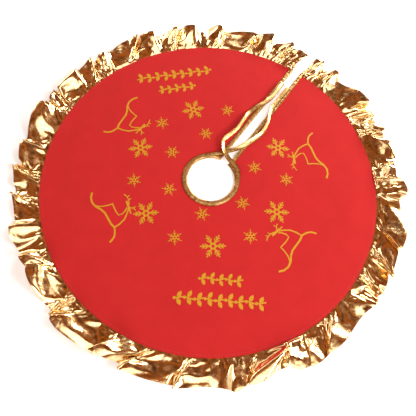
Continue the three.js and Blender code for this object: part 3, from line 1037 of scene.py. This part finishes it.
class Stitching:
    """Rows of machine stitches, laid along lines by Geometry Nodes."""

    def __init__(self) -> None:
        self.tree = self.make_tree()

    def make_tree(self) -> bpy.types.NodeTree:
        """Builds the node tree that turns a line of edges into thread stitches."""
        tree = bpy.data.node_groups.new("stitch_row", "GeometryNodeTree")
        face = tree.interface
        face.new_socket("Line", in_out="INPUT", socket_type="NodeSocketGeometry")
        # a thread is 0.3 mm thick, drawn as thick as shows
        for name, value in (("Pitch", 3.4 * MM), ("Length", 2.7 * MM), ("Thickness", 0.55 * MM)):
            face.new_socket(name, in_out="INPUT", socket_type="NodeSocketFloat").default_value = value
        face.new_socket("Seed", in_out="INPUT", socket_type="NodeSocketInt").default_value = 5
        face.new_socket("Thread", in_out="INPUT", socket_type="NodeSocketMaterial")
        face.new_socket("Stitches", in_out="OUTPUT", socket_type="NodeSocketGeometry")
        given = add_node(tree, "NodeGroupInput").outputs
        curve = add_node(tree, "GeometryNodeMeshToCurve", {"Mesh": given["Line"]})
        spaced = add_node(tree, "GeometryNodeResampleCurve", {"Curve": curve, "Length": given["Pitch"]},
                          mode="LENGTH")
        along = add_node(tree, "GeometryNodeInputTangent")
        turned = add_node(tree, "FunctionNodeAlignRotationToVector", {"Vector": along}, axis="X")
        thread = add_node(tree, "GeometryNodeMeshUVSphere", {"Segments": 6, "Rings": 4, "Radius": 0.5})
        loose = add_node(tree, "FunctionNodeRandomValue", {2: 0.85, 3: 1.1, "Seed": given["Seed"]},
                         data_type="FLOAT")
        longer = add_node(tree, "ShaderNodeMath", {0: given["Length"], 1: loose.outputs[1]},
                          operation="MULTIPLY")
        size = add_node(tree, "ShaderNodeCombineXYZ", {
            "X": longer, "Y": given["Thickness"], "Z": given["Thickness"]})
        row = add_node(tree, "GeometryNodeInstanceOnPoints", {
            "Points": spaced, "Instance": thread, "Rotation": turned, "Scale": size})
        solid = add_node(tree, "GeometryNodeRealizeInstances", {"Geometry": row})
        soft = add_node(tree, "GeometryNodeSetShadeSmooth", {"Geometry": solid})
        painted = add_node(tree, "GeometryNodeSetMaterial", {"Geometry": soft, "Material": given["Thread"]})
        add_node(tree, "NodeGroupOutput", {0: painted})
        return tree

    def row(self, name: str, x: Points, y: Points, height: float, thread: bpy.types.Material,
            slot: str) -> bpy.types.Object:
        """Sews one row of stitches on the cloth.

        Args:
            name: The piece's name.
            x: The sideways places that the row follows, in metres.
            y: The places along the slit's direction.
            height: How high the row lies above the floor where the cloth is flat.
            thread: The thread's material.
            slot: Not used.

        Returns:
            The stitches as one plain mesh.
        """
        line = np.column_stack([x, y, height + lift(x, y)])
        mesh = bpy.data.meshes.new(name + "_line")
        mesh.from_pydata(line.tolist(), [(i, i + 1) for i in range(len(line) - 1)], [])
        guide = put_in_scene(name + "_line", mesh)
        modifier = guide.modifiers.new("stitch_row", "NODES")
        modifier.node_group = self.tree
        for item in self.tree.interface.items_tree:
            if item.in_out == "INPUT" and item.name == "Thread":
                modifier[item.identifier] = thread
        depsgraph = bpy.context.evaluated_depsgraph_get()
        made = bpy.data.meshes.new_from_object(guide.evaluated_get(depsgraph))
        made.name = name
        bpy.data.objects.remove(guide)
        return put_in_scene(name, made)

    def neck(self, thread: bpy.types.Material) -> None:
        """Sews the neck's binding down."""
        ring = SIZES.neck + SIZES.tape - 2.2 * MM
        turn = np.linspace(math.pi / 2 + 0.2, 5 * math.pi / 2 - 0.2, 300)
        sewn = self.row("neck_binding_stitches", ring * np.cos(turn), ring * np.sin(turn),
                        SIZES.tape_top + 0.2 * MM, thread, "tape_foil")
        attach(sewn, "skirt")

    def slit(self, side: Side, thread: bpy.types.Material) -> None:
        """Sews one of the slit's bindings down."""
        y = np.linspace(SIZES.neck + SIZES.tape + 3 * MM, SIZES.rim - 3 * MM, 260)
        x = np.full_like(y, side.value * (SIZES.slit + 10 * MM - 1.6 * MM))
        sewn = self.row(f"slit_binding_stitches_{side.word}", x, y, SIZES.tape_top + 0.2 * MM, thread,
                        "tape_foil")
        fold_with(sewn)

    def rim(self, side: Side, thread: bpy.types.Material) -> None:
        """Sews one half of the panel's rim to the ruffle."""
        reach = SIZES.rim - 5 * MM
        last = math.pi - math.asin((SIZES.slit + SIZES.tape) / reach) - 0.004
        x, y = polar(side, reach, np.linspace(0.002, last, 500))
        sewn = self.row(f"rim_stitches_{side.word}", x, y, SIZES.panel_top, thread, "panel_cloth")
        fold_with(sewn)


# ---- the print


@dataclass
class PrintedMotifs:
    """The gold foil motifs, each laid down on the cloth's own ripples."""

    longest: float = 7 * MM  # no edge of a laid motif is longer
    bite: float = 0.08 * MM  # how deep the foil is pressed into the felt

    def lay(self, node: bpy.types.Object, finish: bpy.types.Material) -> None:
        """Copies a motif's CAD solid and lays it on the panel.

        Args:
            node: The CAD node.
            finish: The print's material.
        """
        name = node.name + "_foil"
        mesh = node.data.copy()
        mesh.name = name
        shape = bmesh.new()
        shape.from_mesh(mesh)
        bmesh.ops.remove_doubles(shape, verts=shape.verts, dist=0.01 * MM)
        for _ in range(3):
            long_edges = [e for e in shape.edges if e.calc_length() > self.longest]
            if not long_edges:
                break
            bmesh.ops.subdivide_edges(shape, edges=long_edges, cuts=1)
            bmesh.ops.triangulate(shape, faces=shape.faces)
        drop = SIZES.print_under - SIZES.panel_top - self.bite
        for v in shape.verts:
            v.co.z += float(lift(np.array(v.co.x), np.array(v.co.y))) - drop
        bmesh.ops.recalc_face_normals(shape, faces=shape.faces)
        shape.to_mesh(mesh)
        shape.free()
        mesh.shade_flat()
        piece = dress(put_in_scene(name, mesh), finish)
        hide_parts(node.name)
        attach(piece, "skirt")


# ---- the whole


def cloths() -> tuple[ClothDisc, ClothDisc]:
    """The lining and the panel, from their sizes."""
    tape_fold = 1.1 * MM  # the tape's own fold, which the felt's edge stops short of
    under_tape = 13.3 * MM  # the lining ends at the bindings' inner edges
    lining = ClothDisc("lining", SIZES.neck + under_tape, SIZES.rim - 12.3 * MM, SIZES.slit + under_tape, 0.0,
                       0.8 * MM, "backing_cloth", {Side.LEFT: ("backing_main", "backing_flap_left"),
                                                   Side.RIGHT: ("backing_flap_right",)},
                       rows=60, columns=150)
    panel = ClothDisc("panel", SIZES.neck + tape_fold, SIZES.rim, SIZES.slit + tape_fold, SIZES.panel_under,
                      SIZES.panel_top, "panel_cloth", {Side.LEFT: ("panel_main", "panel_flap_left"),
                                                       Side.RIGHT: ("panel_flap_right",)})
    return lining, panel


def main() -> None:
    """Builds the skirt piece by piece."""
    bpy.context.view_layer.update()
    Stage().build()
    lame, tape = RUFFLE_LAME.material(), TAPE_LAME.material()
    felt, lining_felt = PANEL_FELT.material(), LINING_FELT.material()
    red, gold, foil = RED_THREAD.material(), GOLD_THREAD.material(), PRINT_FOIL.material()
    for tie in TIES:
        tie.build(tape)
    lining, panel = cloths()
    for side in Side:
        lining.half(side, lining_felt)
        panel.half(side, felt)
    ruffle = Ruffle()
    ruffle.make_strip()
    for side in Side:
        ruffle.half(side, lame)
    bindings, stitching = Bindings(), Stitching()
    bindings.neck(tape)
    stitching.neck(gold)
    for side in Side:
        bindings.slit(side, tape)
        stitching.slit(side, gold)
        stitching.rim(side, red)
        log.info("bindings and seams %s done", side.word)
    motifs = PrintedMotifs()
    for name, node in sorted(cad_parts.items()):
        if name.startswith(("snowflake", "deer", "garland")):
            motifs.lay(node, foil)
    log.info("print laid")


if __name__ == "__main__":
    logging.basicConfig(level=logging.INFO, format="%(message)s")
    main()
